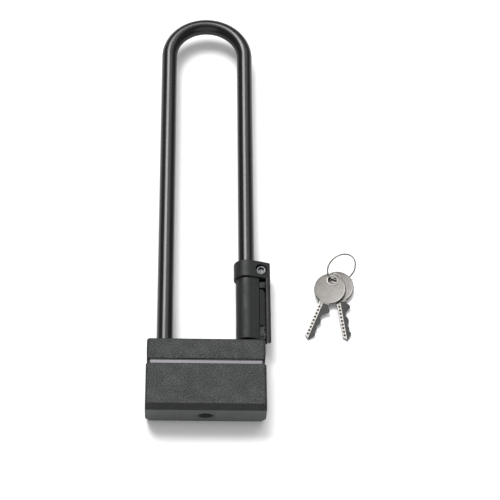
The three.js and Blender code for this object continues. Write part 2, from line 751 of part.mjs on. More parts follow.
// The catch stands on the channel floor with a ramp that leads the frame holder in.
const slideCatch = () =>
  cut(
    slabX(
      [
        [CATCH_Y[0], CHANNEL_FLOOR_Z + GAP],
        [CATCH_Y[1], CHANNEL_FLOOR_Z + GAP],
        [CATCH_Y[1], CATCH_NOSE_Z[0]],
        [CATCH_Y[1] - 1.4, CATCH_NOSE_Z[1]],
        [CATCH_Y[0], CATCH_NOSE_Z[1] + 1.2],
      ],
      CHANNEL_LEFT_X + GAP,
      RAIL_INNER_X - GAP,
    ),
    aboveSlope(),
  );

// A long tongue whose foot turns on the pin, with a round boss over the pin.
function latchLever() {
  const [foot, end] = LATCH_Y;
  const [left, right] = LATCH_X;
  const [footBack, footFront, footEnd, above] = [15, 20.9, 50, 24];
  const tongue = slabX(
    [
      [foot, footBack],
      [footEnd - 4, footBack],
      [footEnd, LATCH_BACK_Z],
      [end, LATCH_BACK_Z],
      [end, above],
      [foot, above],
    ],
    left,
    right,
  );
  const corner = new THREE.Shape([
    new THREE.Vector2(right - 1.5, end + 0.1),
    new THREE.Vector2(right + 1, end - 3.2),
    new THREE.Vector2(right + 1, end + 0.1),
  ]);
  const footTop = block([left - 1, right + 1], [foot - 1, footEnd], [footFront, above + 1]);
  const [bossX, bossY, bossRadius] = [(left + right) / 2 - 0.5, foot + 2.9, 1.7];
  const boss = rodZ(bossX, bossY, footFront - 2.9, footFront + 1, bossRadius, bossRadius - 0.2, 20);
  return cut(
    join(cut(tongue, aboveSlope(), slabZ(corner, 10, 30), footTop), boss),
    rodX(LATCH_PIN_Y, LATCH_PIN_Z, left - 5, right + 5, PIN_BORE, PIN_BORE, 16),
  );
}

const latchPin = () => rodX(LATCH_PIN_Y, LATCH_PIN_Z, 43.6, 53.2, 1.1, 1.1, 16);

// A small push spring between the channel floor and the lever.
function latchSpring() {
  const [turns, radius, wire] = [3.5, 1.5, 0.3];
  const bottom = CHANNEL_FLOOR_Z + wire + 0.15;
  const top = LATCH_BACK_Z - wire - 0.15;
  const [x, y] = [(LATCH_X[0] + LATCH_X[1]) / 2, SPRING_Y];
  const points = [];
  const count = Math.round(turns * 10);
  for (let i = 0; i <= count; i++) {
    const angle = (2 * Math.PI * turns * i) / count;
    points.push(
      new THREE.Vector3(
        x + radius * Math.cos(angle),
        y + radius * Math.sin(angle),
        bottom + ((top - bottom) * i) / count,
      ),
    );
  }
  return solid(
    new THREE.ExtrudeGeometry(new THREE.Shape(polygon(wire, 6)), {
      steps: count,
      extrudePath: new THREE.CatmullRomCurve3(points),
      bevelEnabled: false,
    }),
  );
}

// ---------------------------------------------------------------- keys
// A key in its own frame: hole at the origin, blade along -Y, flat on z = 0.
const BLADE = [
  [6, -14],
  [5.7, -24.6],
  [8.2, -26.8],
  [8.2, -29.2],
  [5.3, -31.2],
  [3.6, -33.4],
  [2.8, -36.2],
  [4.8, -39.1],
  [4.8, -41.9],
  [2.9, -45.2],
  [4.2, -48.2],
  [3.3, -50.4],
  [4.9, -53],
  [3.9, -55.3],
  [0.6, -59.4],
  [-3.1, -56.5],
  [-3.1, -14],
];
const GROOVE_X = [-0.3, 0.6];

function keyBlank() {
  const outline = new THREE.Shape(BLADE.map(([x, y]) => new THREE.Vector2(x, y)));
  const [headX, headY] = KEY_HEAD_CENTRE;
  const head = new THREE.CylinderGeometry(1, 1, KEY_THICK, 48).rotateX(Math.PI / 2);
  head.scale(...KEY_HEAD, 1).translate(headX, headY, KEY_THICK / 2);
  const grooveTop = headY - KEY_HEAD[1];
  const groove = block(GROOVE_X, [-60, grooveTop], [KEY_THICK - 0.6, KEY_THICK + 1]);
  const hole = rodZ(0, 0, -1, KEY_THICK + 1, KEY_HOLE_RADIUS);
  return cut(join(slabZ(outline, 0, KEY_THICK), solid(head)), groove, hole);
}

// Each key leans on its tip, and a turn about the upright swings it to where it lies.
function placeKey(name, [x, y, z], swing, lean) {
  const holder = new THREE.Group();
  holder.position.set(x, y, z);
  holder.rotation.set(0, 0, swing);
  const tilt = new THREE.Group();
  tilt.rotation.set(lean, 0, 0);
  holder.add(tilt);
  place(name, keyBlank(), "nickel", tilt);
  lock.add(holder);
}

const RING_CENTRE = new THREE.Vector3(118.4, 112, 12.8);
const RING_NORMAL = new THREE.Vector3(0.337, -0.808, 0.484).normalize();

function keyRing() {
  const ring = new THREE.TorusGeometry(RING_RADIUS, RING_WIRE, 10, 48);
  const turn = new THREE.Quaternion().setFromUnitVectors(new THREE.Vector3(0, 0, 1), RING_NORMAL);
  ring.applyQuaternion(turn);
  ring.translate(RING_CENTRE.x, RING_CENTRE.y, RING_CENTRE.z);
  return solid(ring);
}

// ---------------------------------------------------------------- assembly
place("main_cover", mainCover(), "cover_plastic");
place("top_cover", topCover(), "cover_plastic");
place("trim_strip", trimStrip(), "silver_trim");
place("steel_case", steelCase(), "hard_steel");
place("mechanism_plate", mechanismPlate(), "hard_steel");
place("leg_seal_left", legSeal(-LEG_X), "rubber");
place("leg_seal_right", legSeal(LEG_X), "rubber");
place("keyhole_bezel", keyholeBezel(), "bracket_plastic");
SCREW_PLACES.forEach((spot, i) => place(`cover_screw_${i + 1}`, coverScrew(spot), "black_steel"));
place("channel_plug_left", channelPlug(-1), "hard_steel");
place("channel_plug_right", channelPlug(1), "hard_steel");
place("cylinder_shell", cylinderShell(), "brass");
place("cylinder_pin", rodZ(PIN_X, PIN_Y, CASE_BACK + 0.2, 24.5, 1.5, 1.5, 16), "hard_steel");

place("cylinder_plug", cylinderPlug(), "brass");
WAFERS.forEach((_, i) => place(`wafer_${i + 1}`, wafer(i), "brass"));
place("drive_pinion", drivePinion(), "hard_steel");
place("pinion_clip", pinionClip(), "hard_steel");

place("bolt_right", lockBolt(), "hard_steel");
const leftSide = new THREE.Group();
leftSide.rotation.y = Math.PI;
leftSide.position.z = BODY_DEPTH;
lock.add(leftSide);
place("bolt_left", lockBolt(), "hard_steel", leftSide);

place("shackle_bar", shackleBar(), "hard_steel");
place("shackle_sleeve", shackleSleeve(), "vinyl");
place("bracket_body", bracketBody(), "bracket_plastic");
place("bracket_liner", bracketLiner(), "rubber");
place("clamp_screw", clampScrew(), "black_steel");
place("clamp_nut", clampNut(), "black_steel");
place("slide_catch", slideCatch(), "bracket_plastic");
place("latch_pin", latchPin(), "black_steel");
place("latch_spring", latchSpring(), "hard_steel");
place("latch_lever", latchLever(), "bracket_plastic");

place("key_ring", keyRing(), "nickel");
placeKey("key_1", [110.6, 102.4, 5.45], -0.402, 0.0885);
placeKey("key_2", [113.6, 105.8, 2.95], 0.138, 0.047);

export default lock;
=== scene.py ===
# %% [markdown]
# # A long bicycle U-lock, its carrier bracket and its keys
# The working model comes first: its pieces, joints and sizes are already settled, and everything
# made here is fitted round it. The lock lies on its back with its front face up. Shapes are drawn
# in millimetres, because that is how a lock is measured, and are scaled to metres when a piece is
# finished.

# %% Load the working model
import math

import bmesh
import bpy
from mathutils import Matrix, Vector


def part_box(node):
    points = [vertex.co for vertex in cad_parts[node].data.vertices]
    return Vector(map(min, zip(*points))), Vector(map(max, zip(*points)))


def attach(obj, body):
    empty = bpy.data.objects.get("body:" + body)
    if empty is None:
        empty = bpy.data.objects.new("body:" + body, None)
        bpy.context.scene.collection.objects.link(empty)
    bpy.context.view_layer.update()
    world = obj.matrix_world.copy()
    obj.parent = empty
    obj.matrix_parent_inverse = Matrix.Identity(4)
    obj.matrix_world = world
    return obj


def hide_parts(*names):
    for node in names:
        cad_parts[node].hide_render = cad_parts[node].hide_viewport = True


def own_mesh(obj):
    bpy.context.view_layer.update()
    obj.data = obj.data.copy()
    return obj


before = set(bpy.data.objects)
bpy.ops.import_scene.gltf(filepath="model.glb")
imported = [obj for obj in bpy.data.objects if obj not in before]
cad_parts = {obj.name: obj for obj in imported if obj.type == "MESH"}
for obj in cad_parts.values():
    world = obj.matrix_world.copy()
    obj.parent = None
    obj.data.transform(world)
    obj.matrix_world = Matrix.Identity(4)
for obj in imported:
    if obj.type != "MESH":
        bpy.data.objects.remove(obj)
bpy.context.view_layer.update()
MM = 0.001

# %% [markdown]
# ## Places taken from the working model
# A node's box gives its lowest and highest corner. Reading sizes from the boxes keeps the fine
# pieces in step with the rough ones: if a node moves, its fine piece moves too.

# %% Read the boxes in millimetres
def node_box(node):
    low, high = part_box(node)
    return low / MM, high / MM


def middle_of(node):
    low, high = node_box(node)
    return (low + high) / 2


cover_low, cover_high = node_box("main_cover")
cap_low, cap_high = node_box("top_cover")
strip_low, strip_high = node_box("trim_strip")
sleeve_low, sleeve_high = node_box("shackle_sleeve")
bar_low, bar_high = node_box("shackle_bar")
bracket_low, bracket_high = node_box("bracket_body")
DEPTH = cover_high.z
AXIS_Z = DEPTH / 2
VINYL_RADIUS = (sleeve_high.z - sleeve_low.z) / 2
BAR_RADIUS = (bar_high.z - bar_low.z) / 2
LEG_X = sleeve_high.x - VINYL_RADIUS
BEND_Y = sleeve_high.y - VINYL_RADIUS - LEG_X
print("leg at", round(LEG_X, 2), "bend centre at", round(BEND_Y, 2))

# %% [markdown]
# ## Camera
# The lock is seen from the keyhole end and well above it, so the front face and the keyhole face
# show together. A long lens from over a metre away keeps the shackle's legs almost parallel.

# %% Set the camera
TILT, YAW, ROLL = math.radians(29.5), math.radians(3.0), math.radians(0.65)
CAMERA_PLACE = Vector((-27.3, -581.9, 1266.8)) * MM
LENS_MM = 118.4


def set_camera():
    camera = bpy.data.objects.new("camera", bpy.data.cameras.new("camera"))
    turn = Matrix.Rotation(ROLL, 3, "Z") @ Matrix.Rotation(-TILT, 3, "X")
    turn = (turn @ Matrix.Rotation(YAW, 3, "Y")).transposed()
    camera.matrix_world = Matrix.Translation(CAMERA_PLACE) @ turn.to_4x4()
    camera.data.sensor_width = 36
    camera.data.lens = LENS_MM
    camera.data.clip_start, camera.data.clip_end = 0.01, 50
    bpy.context.scene.collection.objects.link(camera)
    bpy.context.scene.camera = camera


set_camera()
print("camera at", [round(v, 3) for v in CAMERA_PLACE])

# %% [markdown]
# ## Light
# The black coating shows nothing but what it mirrors. A soft light high on the left, inside a much
# broader glow, draws the long stripe down each leg with a soft edge, and a weaker one on the right
# draws a dim second stripe. A low light from the front lifts the keyhole face, whose finish is also
# painted lighter. The world stays fairly dim, so the sides of the tube stay black; the chamfer, whose
# finish is also painted darker, stays dark.

# %% Set the lights
def soft_sun(name, comes_from, strength, angle):
    light = bpy.data.lights.new(name, "SUN")
    light.energy, light.angle = strength, math.radians(angle)
    lamp = bpy.data.objects.new(name, light)
    lamp.rotation_euler = Vector(comes_from).to_track_quat("Z", "Y").to_euler()
    bpy.context.scene.collection.objects.link(lamp)


def set_world(level):
    world = bpy.data.worlds.new("studio")
    world.use_nodes = True
    background = world.node_tree.nodes["Background"]
    background.inputs["Color"].default_value = (level, level, level * 1.02, 1)
    bpy.context.scene.world = world


soft_sun("key_light", (-0.23, 0.52, 0.85), 3.0, 28)
soft_sun("key_glow", (-0.10, 0.42, 0.88), 0.9, 60)
soft_sun("second_light", (0.42, 0.50, 0.80), 0.4, 30)
soft_sun("front_fill", (0.05, -0.85, 0.5), 0.9, 60)
set_world(0.36)
bpy.context.scene.view_settings.view_transform = "Standard"

# %% [markdown]
# ## Drawing tools for materials
# Every finish here is made of the same few things: soft random clouds at some size, a ramp that
# turns them into a colour or a roughness, and a bump. Short helpers keep each material readable.

# %% Material helpers
def new_material(name, **values):
    material = bpy.data.materials.new(name)
    material.use_nodes = True
    tree = material.node_tree
    shader = tree.nodes["Principled BSDF"]
    for key, value in values.items():
        shader.inputs[key.replace("_", " ")].default_value = value
    place = tree.nodes.new("ShaderNodeTexCoord").outputs["Object"]
    return material, tree, shader, place


def stretched(tree, place, scale):
    mapping = tree.nodes.new("ShaderNodeMapping")
    mapping.inputs["Scale"].default_value = scale
    tree.links.new(place, mapping.inputs["Vector"])
    return mapping.outputs["Vector"]


def clouds(tree, place, size_mm, detail=3):
    noise = tree.nodes.new("ShaderNodeTexNoise")
    noise.inputs["Scale"].default_value = 1 / (size_mm * MM)
    noise.inputs["Detail"].default_value = detail
    tree.links.new(place, noise.inputs["Vector"])
    return noise.outputs["Fac"]


def ramp(tree, amount, *stops):
    node = tree.nodes.new("ShaderNodeValToRGB")
    elements = node.color_ramp.elements
    for element, (place, _) in zip(elements, (stops[0], stops[-1])):
        element.position = place
    for place, _ in stops[1:-1]:
        elements.new(place)
    for element, (_, colour) in zip(elements, stops):
        element.color = (*colour, 1) if isinstance(colour, tuple) else (colour, colour, colour, 1)
    tree.links.new(amount, node.inputs["Fac"])
    return node.outputs["Color"]


def mixed(tree, amount, first, second, blend="MIX"):
    node = tree.nodes.new("ShaderNodeMix")
    node.data_type, node.blend_type = "RGBA", blend
    for socket, value in zip((node.inputs[0], node.inputs[6], node.inputs[7]), (amount, first, second)):
        if isinstance(value, bpy.types.NodeSocket):
            tree.links.new(value, socket)
        else:
            socket.default_value = (*value, 1) if isinstance(value, tuple) else value
    return node.outputs[2]


def bumped(tree, shader, height, depth_mm, strength=1.0, below=None):
    bump = tree.nodes.new("ShaderNodeBump")
    bump.inputs["Strength"].default_value = strength
    bump.inputs["Distance"].default_value = depth_mm * MM
    tree.links.new(height, bump.inputs["Height"])
    if below is not None:
        tree.links.new(below, bump.inputs["Normal"])
    tree.links.new(bump.outputs["Normal"], shader.inputs["Normal"])
    return bump.outputs["Normal"]


def feed(tree, output, shader, name):
    tree.links.new(output, shader.inputs[name])


# %% [markdown]
# ## Grained cover plastic
# The covers come out of a spark-eroded mould, which leaves a random grain of hills and pits about
# a millimetre apart. The hills are paler, partly rubbed paler in use and partly a painted highlight
# where they catch light, so the same clouds drive the colour, the roughness and the bump. A much
# larger cloud keeps a big flat face from looking even. The chamfers, the sides and the cap's rim are
# smoother in the mould and get a darker finish, which is painted shade; the smooth end face and the
# keyhole plate get a lighter finish, which is painted light.

# %% Make the cover plastics
def grained_plastic(name, dark, light, grain_mm, roughness, depth):
    material, tree, shader, place = new_material(name, Specular_IOR_Level=0.24)
    middle = tuple((a + b) / 2 for a, b in zip(dark, light))
    grain = clouds(tree, place, grain_mm, 2)
    # Paler hills are partly wear and partly a painted highlight where they catch light.
    speck = ramp(tree, grain, (0.38, dark), (0.5, middle), (0.62, light))
    broad = ramp(tree, clouds(tree, place, 26, 2), (0.3, 0.94), (0.7, 1.05))
    feed(tree, mixed(tree, 1.0, speck, broad, "MULTIPLY"), shader, "Base Color")
    rough = ramp(tree, clouds(tree, place, 9, 3), (0.3, roughness[0]), (0.7, roughness[1]))
    feed(tree, rough, shader, "Roughness")
    coarse = bumped(tree, shader, grain, depth, 0.9)
    bumped(tree, shader, clouds(tree, place, grain_mm * 0.4, 2), depth * 0.35, 0.6, coarse)
    return material


COVER_GRAIN = grained_plastic(
    "cover_grain", (0.003, 0.0033, 0.0033), (0.046, 0.050, 0.050), 1.0, (0.52, 0.68), 0.2
)
# A darker copy of the plastic: painted shade for the chamfers, the sides and the cap's rim.
COVER_SMOOTH_SHADED = grained_plastic(
    "cover_smooth_shaded", (0.010, 0.0105, 0.010), (0.017, 0.018, 0.017), 0.9, (0.5, 0.6), 0.012
)
# A lighter copy of the plastic: painted light for the keyhole end face and the keyhole plate.
COVER_END_LIT = grained_plastic(
    "cover_end_lit", (0.050, 0.053, 0.052), (0.062, 0.065, 0.064), 1.2, (0.55, 0.66), 0.03
)
BRACKET_PLASTIC = grained_plastic(
    "bracket_nylon", (0.005, 0.0054, 0.0054), (0.014, 0.015, 0.015), 0.6, (0.44, 0.58), 0.03
)

# %% [markdown]
# ## Black vinyl, rubber
# The coating is drawn on as a hot tube, so it is glossy, almost perfectly smooth, and very slightly
# wavy along its length. Fine hairline rubs run along the bar. Rubber is the same black with no gloss.

# %% Make the black coatings
def vinyl():
    material, tree, shader, place = new_material(
        "black_vinyl", Specular_IOR_Level=0.32, Coat_Weight=0.05, Coat_Roughness=0.2
    )
    along = stretched(tree, place, (1, 0.03, 1))
    rubs = clouds(tree, along, 1.8, 2)
    tone = ramp(tree, rubs, (0.35, (0.002, 0.0021, 0.0022)), (0.75, (0.005, 0.005, 0.0052)))
    feed(tree, tone, shader, "Base Color")
    feed(tree, ramp(tree, rubs, (0.3, 0.22), (0.8, 0.3)), shader, "Roughness")
    bumped(tree, shader, clouds(tree, stretched(tree, place, (1, 0.3, 1)), 14, 1), 0.05, 0.35)
    return material


def rubber():
    material, tree, shader, place = new_material("soft_rubber", Specular_IOR_Level=0.35)
    dust = clouds(tree, place, 3, 4)
    feed(tree, ramp(tree, dust, (0.35, (0.008,) * 3), (0.75, (0.022,) * 3)), shader, "Base Color")
    feed(tree, ramp(tree, dust, (0.3, 0.7), (0.7, 0.9)), shader, "Roughness")
    bumped(tree, shader, clouds(tree, place, 0.4, 3), 0.03, 0.7)
    return material


VINYL, RUBBER = vinyl(), rubber()

# %% [markdown]
# ## Metals
# All the metals share one recipe: fine scratches that run one way, from clouds stretched along an
# axis, over broad clouds of tarnish that shift both colour and roughness. Keys are brushed along
# their length, the silver strip along the body, and turned brass round its axis.

# %% Make the metals
def scratched_metal(name, dark, light, roughness, run=(1, 0.04, 1), scratch_mm=0.16, depth=0.01):
    material, tree, shader, place = new_material(name, Metallic=1.0)
    scratches = clouds(tree, stretched(tree, place, run), scratch_mm, 4)
    tarnish = clouds(tree, place, 5, 4)
    tone = ramp(tree, scratches, (0.3, dark), (0.7, light))
    shade = ramp(tree, tarnish, (0.3, 0.8), (0.65, 1.0))
    feed(tree, mixed(tree, 1.0, tone, shade, "MULTIPLY"), shader, "Base Color")
    rough = ramp(tree, mixed(tree, 0.5, scratches, tarnish), (0.3, roughness[0]), (0.7, roughness[1]))
    feed(tree, rough, shader, "Roughness")
    bumped(tree, shader, scratches, depth, 0.5)
    return material


ALONG_X = (0.04, 1, 1)
NICKEL = scratched_metal("nickel_plate", (0.095, 0.091, 0.086), (0.165, 0.158, 0.15), (0.36, 0.46))
BRIGHT_NICKEL = scratched_metal("rubbed_nickel", (0.2, 0.192, 0.182), (0.3, 0.288, 0.272), (0.32, 0.42))
# A dark copy of the nickel: the cut finish of the milled floor, and painted shade on the key's side faces,
# hole wall and pits.
MILLED_NICKEL_SHADED = scratched_metal("milled_nickel_shaded", (0.018, 0.018, 0.018), (0.052, 0.052, 0.051), (0.4, 0.5))
RING_STEEL = scratched_metal("ring_wire", (0.12, 0.105, 0.09), (0.3, 0.275, 0.245), (0.24, 0.36))
SILVER = scratched_metal("satin_silver", (0.078, 0.076, 0.082), (0.115, 0.112, 0.121), (0.4, 0.5), ALONG_X)
HARD_STEEL = scratched_metal("ground_steel", (0.30, 0.31, 0.32), (0.5, 0.51, 0.52), (0.25, 0.42), ALONG_X)
BLACK_STEEL = scratched_metal("blackened_steel", (0.045, 0.046, 0.048), (0.1, 0.102, 0.106), (0.32, 0.48))
# The case steel is painted darker than blackened steel, as painted shade for the groove between the covers.
CASE_STEEL_SHADED = scratched_metal("case_steel_shaded", (0.02, 0.02, 0.021), (0.045, 0.045, 0.047), (0.4, 0.55))
# The brass is painted far darker than brass, as painted shade for the cylinder and wafers seen down the
# keyhole.
BRASS_DARK, BRASS_LIGHT = (0.04, 0.028, 0.012), (0.11, 0.077, 0.034)
BRASS_SHADED = scratched_metal("turned_brass_shaded", BRASS_DARK, BRASS_LIGHT, (0.34, 0.48), (1, 1, 0.08))

# %% [markdown]
# ## Shape helpers
# Hard parts are built the way a machinist would think of them: stock pieces (a bar, a block, an
# outline drawn out to a thickness), holes cut through them, and edges broken last. `carved` and
# `welded` use Blender's exact boolean on scratch objects and hand back clean mesh data. Corners
# closer together than `MERGE` count as one.

# %% Stock pieces
MERGE = 1e-4
AXIS_TURN = {
    "X": Matrix.Rotation(math.pi / 2, 4, "Y"),
    "Y": Matrix.Rotation(-math.pi / 2, 4, "X"),
    "Z": Matrix.Identity(4),
}


def block(x, y, z):
    bm = bmesh.new()
    size = Vector((x[1] - x[0], y[1] - y[0], z[1] - z[0]))
    centre = Vector((sum(x), sum(y), sum(z))) / 2
    bmesh.ops.create_cube(bm, size=1, matrix=Matrix.LocRotScale(centre, None, size))
    return bm


def rod(axis, centre, low, high, radius, end_radius=None, segments=64):
    bm = bmesh.new()
    middle = Vector(centre)
    middle["XYZ".index(axis)] = (low + high) / 2
    bmesh.ops.create_cone(
        bm,
        cap_ends=True,
        segments=segments,
        radius1=radius,
        radius2=radius if end_radius is None else end_radius,
        depth=high - low,
        matrix=Matrix.Translation(middle) @ AXIS_TURN[axis],
    )
    return bm


def arc(centre, radius, start, end, steps=8):
    angles = [math.radians(start + (end - start) * i / steps) for i in range(steps + 1)]
    return [(centre[0] + radius * math.cos(a), centre[1] + radius * math.sin(a)) for a in angles]


def rounded_box(half_width, low, high, radius, steps=6):
    """A rectangle with round corners, as wide to the left as to the right."""
    x, bottom, top = half_width - radius, low + radius, high - radius
    corners = (((x, bottom), -90), ((x, top), 0), ((-x, top), 90), ((-x, bottom), 180))
    return [point for centre, start in corners for point in arc(centre, radius, start, start + 90, steps)]


def drawn_out(outline, axis, low, high):
    """The outline lies in X and Z for axis Y, in X and Y for axis Z, and in Y and Z for axis X."""
    place = {"X": lambda a, b: (low, a, b), "Y": lambda a, b: (a, low, b), "Z": lambda a, b: (a, b, low)}
    bm = bmesh.new()
    face = bm.faces.new([bm.verts.new(place[axis](a, b)) for a, b in outline])
    made = bmesh.ops.extrude_face_region(bm, geom=[face])
    step = Vector()
    step["XYZ".index(axis)] = high - low
    bmesh.ops.translate(bm, vec=step, verts=[v for v in made["geom"] if isinstance(v, bmesh.types.BMVert)])
    bmesh.ops.recalc_face_normals(bm, faces=bm.faces)
    return bm


def turned(profile, centre, axis, steps=64):
    """A ring or knob: a closed profile of (radius, height) points spun about the axis."""
    bm = bmesh.new()
    verts = [bm.verts.new((radius, 0, height)) for radius, height in profile]
    edges = [bm.edges.new(pair) for pair in zip(verts, verts[1:] + verts[:1])]
    bmesh.ops.spin(
        bm, geom=verts + edges, cent=(0, 0, 0), axis=(0, 0, 1), dvec=(0, 0, 0),
        angle=2 * math.pi, steps=steps, use_merge=True, use_duplicate=False,
    )
    bmesh.ops.remove_doubles(bm, verts=bm.verts, dist=MERGE)
    bmesh.ops.recalc_face_normals(bm, faces=bm.faces)
    bmesh.ops.transform(bm, matrix=Matrix.Translation(centre) @ AXIS_TURN[axis], verts=bm.verts)
    return bm


# %% Cuts, welds and broken edges
def object_from(bm, name="scratch"):
    mesh = bpy.data.meshes.new(name)
    bm.to_mesh(mesh)
    bm.free()
    made = bpy.data.objects.new(name, mesh)
    bpy.context.scene.collection.objects.link(made)
    return made


def baked(made):
    """The object's mesh with its modifiers worked out, as new mesh data; the object is removed."""
    bpy.context.view_layer.update()
    evaluated = made.evaluated_get(bpy.context.evaluated_depsgraph_get())
    bm = bmesh.new()
    bm.from_mesh(evaluated.to_mesh())
    evaluated.to_mesh_clear()
    bpy.data.meshes.remove(made.data)
    return bm


def with_boolean(bm, tool, operation):
    made, cutter = object_from(bm), object_from(tool)
    modifier = made.modifiers.new("cut", "BOOLEAN")
    modifier.object, modifier.operation, modifier.solver = cutter, operation, "EXACT"
    result = baked(made)
    bpy.data.meshes.remove(cutter.data)
    bmesh.ops.remove_doubles(result, verts=result.verts, dist=MERGE)
    bmesh.ops.dissolve_degenerate(result, edges=result.edges, dist=MERGE)
    return result


def carved(bm, *cutters):
    for cutter in cutters:
        bm = with_boolean(bm, cutter, "DIFFERENCE")
    return bm


def welded(bm, *others):
    for other in others:
        bm = with_boolean(bm, other, "UNION")
    return bm


def walled(bm, thickness, even=False):
    """A skin given a wall that grows inwards."""
    made = object_from(bm)
    wall = made.modifiers.new("wall", "SOLIDIFY")
    wall.thickness, wall.offset, wall.use_even_offset = thickness, -1, even
    return baked(made)


def everything_in(bm):
    return list(bm.verts) + list(bm.edges) + list(bm.faces)


def edges_broken(bm, width, segments=3, chosen=lambda edge: True, sharper_than=30):
    limit = math.radians(sharper_than)
    sharp = [
        e for e in bm.edges
        if len(e.link_faces) == 2 and e.calc_face_angle(0) > limit and chosen(e)
    ]
    bmesh.ops.bevel(
        bm, geom=sharp, offset=width, offset_type="OFFSET", segments=segments,
        profile=0.5, affect="EDGES", clamp_overlap=True, material=-1,
    )
    return bm


# %% [markdown]
# ## Finishing a piece
# Each finished piece goes to metres with its place in its mesh, is shaded smooth up to its sharp
# edges, takes its material, is tied to the body it moves with, and hides the rough node it stands for.

# %% Finish a piece
made_pieces = []


def finished(name, bm, body, materials, nodes, smooth_below=34):
    bmesh.ops.remove_doubles(bm, verts=bm.verts, dist=2 * MERGE)
    bmesh.ops.scale(bm, vec=(MM, MM, MM), verts=bm.verts)
    piece = object_from(bm, name)
    mesh = piece.data
    mesh.shade_smooth()
    mesh.set_sharp_from_angle(angle=math.radians(smooth_below))
    for material in materials if isinstance(materials, tuple) else (materials,):
        mesh.materials.append(material)
    weighted = piece.modifiers.new("even_shading", "WEIGHTED_NORMAL")
    weighted.keep_sharp = True
    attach(piece, body)
    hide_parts(*nodes)
    made_pieces.append(piece)
    print(name, len(mesh.polygons), "faces")
    return piece


# %% [markdown]
# ## The two covers
# Both covers are thin mouldings over the steel bar. Each starts as the body's rounded outline drawn
# out along the lock, and is hollowed by giving its skin a wall. The lower one has a flat chamfer
# front and back at the keyhole end and two cut corners at its back, all sliced off with planes. The
# keyhole is bored through afterwards.

# %% The body's outline and a hollow wall
WALL = 2.3
SIDE_ROUND = 2.6
SIDE_FACING, END_FACING = 0.55, 0.3
# Face slot SHADED_SMOOTH takes the darker finish, painted shade; slot END takes the lighter finish, painted
# light.
SHADED_SMOOTH, END = 1, 2
KEYHOLE_BORE, LEG_BORE = 7.95, 9.2
SEAT_RADIUS, SEAT_TOP, SCREW_BORE = 3.2, 1.9, 1.8
CHAMFER_UP, CHAMFER_DEEP = 4.0, 5.5
CORNER_ACROSS, CORNER_DEEP = 4.0, 5.0


def body_outline(half_width):
    return rounded_box(half_width, 0, DEPTH, SIDE_ROUND)


def hollowed(bm, open_end_y):
    lid = [f for f in bm.faces if abs(f.calc_center_median().y - open_end_y) < 0.01]
    bmesh.ops.delete(bm, geom=lid, context="FACES")
    return walled(bm, WALL, even=True)


def sliced(bm, point, normal):
    cut = bmesh.ops.bisect_plane(
        bm, geom=everything_in(bm), plane_co=point, plane_no=normal, clear_outer=True, dist=MERGE
    )
    rim = [e for e in cut["geom_cut"] if isinstance(e, bmesh.types.BMEdge)]
    bmesh.ops.edgeloop_fill(bm, edges=rim)
    return bm


def screw_seat(node):
    spot = middle_of(node)
    seat = rod("Z", spot, -1, SEAT_TOP, SEAT_RADIUS, segments=40)
    return welded(seat, rod("Z", spot, 1, WALL + 1, SCREW_BORE, segments=32))


# %% Lower cover
def lower_cover():
    bm = drawn_out(body_outline(cover_high.x), "Y", cover_low.y, cover_high.y)
    for face_z, out in ((DEPTH, 1), (0, -1)):
        sliced(bm, (0, cover_low.y + CHAMFER_UP, face_z), (0, -CHAMFER_DEEP, out * CHAMFER_UP))
    for side in (-1, 1):
        along = Vector((-side * CORNER_ACROSS, 0, -CORNER_DEEP))
        out = along.cross(Vector((0, CHAMFER_UP, -CHAMFER_DEEP))) * side
        corner = (side * (cover_high.x - CORNER_ACROSS / 2), cover_low.y, CHAMFER_DEEP + CORNER_DEEP / 2)
        sliced(bm, corner, out)
    bmesh.ops.recalc_face_normals(bm, faces=bm.faces)
    bm = hollowed(bm, cover_high.y)
    keyhole = rod("Y", (0, 0, AXIS_Z), cover_low.y - 2, cover_low.y + 6, KEYHOLE_BORE, segments=80)
    bm = carved(bm, keyhole, screw_seat("cover_screw_1"), screw_seat("cover_screw_2"))
    edges_broken(bm, 0.35, 3)
    # Chamfers and sides get the darker finish as painted shade; the flat end face gets the lighter finish as
    # painted light.
    for face in bm.faces:
        n = face.normal
        faces_end = n.y < -END_FACING
        slanted = max(abs(n.x), abs(n.z)) > END_FACING
        if abs(n.x) > SIDE_FACING or (faces_end and slanted):
            face.material_index = SHADED_SMOOTH
        elif faces_end:
            face.material_index = END
    return bm


finished(
    "lower_cover_moulding", lower_cover(), "lock_body",
    (COVER_GRAIN, COVER_SMOOTH_SHADED, COVER_END_LIT), ["main_cover"],
)

# %% [markdown]
# The cap is the same outline, a little narrower. A soft crease runs round it five millimetres above
# its lower edge, below which the wall leans in slightly, so that band reads a shade darker.

# %% Cap
CREASE_UP = 5.0
LEAN_IN = 0.4
RIM_ROUND = 2.5


